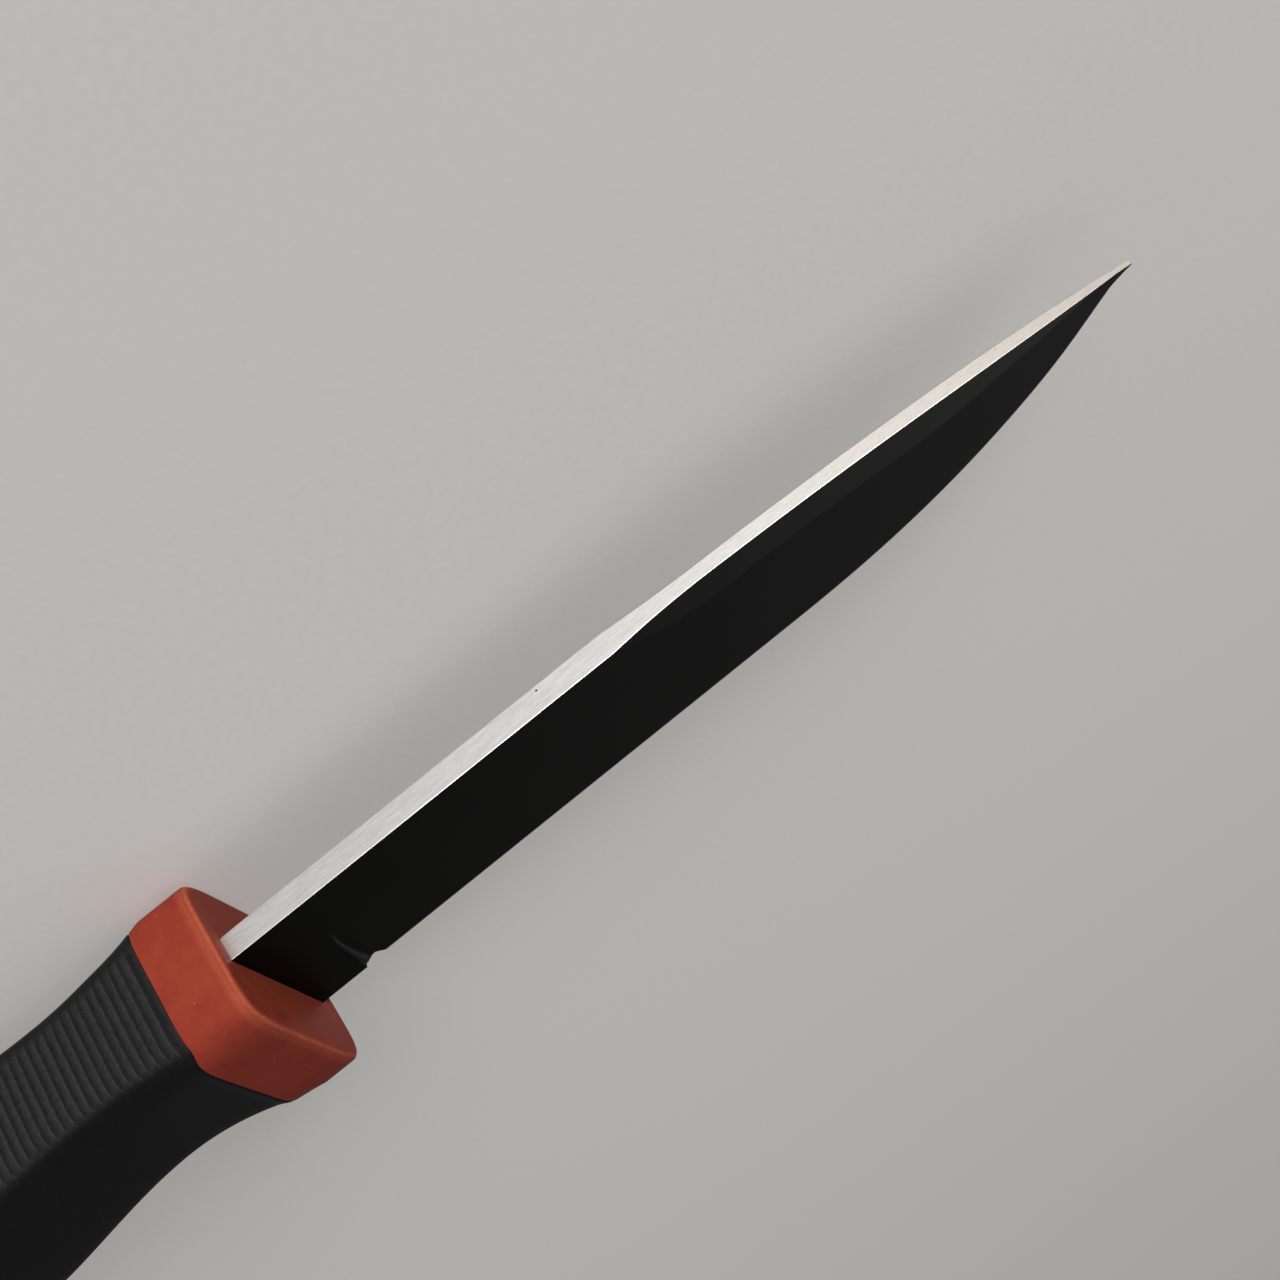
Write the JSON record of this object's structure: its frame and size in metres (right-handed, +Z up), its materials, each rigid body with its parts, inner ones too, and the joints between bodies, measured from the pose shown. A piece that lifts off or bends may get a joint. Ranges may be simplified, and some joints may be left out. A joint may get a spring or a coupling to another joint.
{
  "type": "fixed-blade knife",
  "caption": "Fixed-blade clip-point knife with swedge, hidden tang, moulded bolster, ribbed rubber grip and butt cap with a lanyard tube.",
  "frame": {"origin": "centre of the whole knife's outline, on the surface that it lies on with its left side down", "axes": "+X from the butt to the tip, +Y from the cutting edge to the spine, +Z up out of the blade's right-hand face"},
  "size_m": [0.28, 0.0342, 0.0246],
  "materials": {
    "blade_steel": "dark satin flats with a bare, lengthwise brushed spine",
    "gasket_elastomer": "plain sheet",
    "bolster_polymer": "satin moulded brick red",
    "pin_steel": "ground",
    "core_polymer": "moulded",
    "grip_rubber": "matte moulded black rubber, ribbed on the back and the edge side",
    "butt_polymer": "fine matte moulded",
    "fitting_steel": "turned stainless"
  },
  "bodies": {
    "root": {"blade": "blade_steel", "tang_gasket": "gasket_elastomer", "bolster": "bolster_polymer", "bolster_dowels": "pin_steel", "grip_core": "core_polymer", "tang_pins": "pin_steel", "grip_sleeve": "grip_rubber", "butt_cap": "butt_polymer", "lanyard_tube": "fitting_steel", "tang_washer": "fitting_steel", "tang_nut": "fitting_steel"}
  },
  "joints": []
}
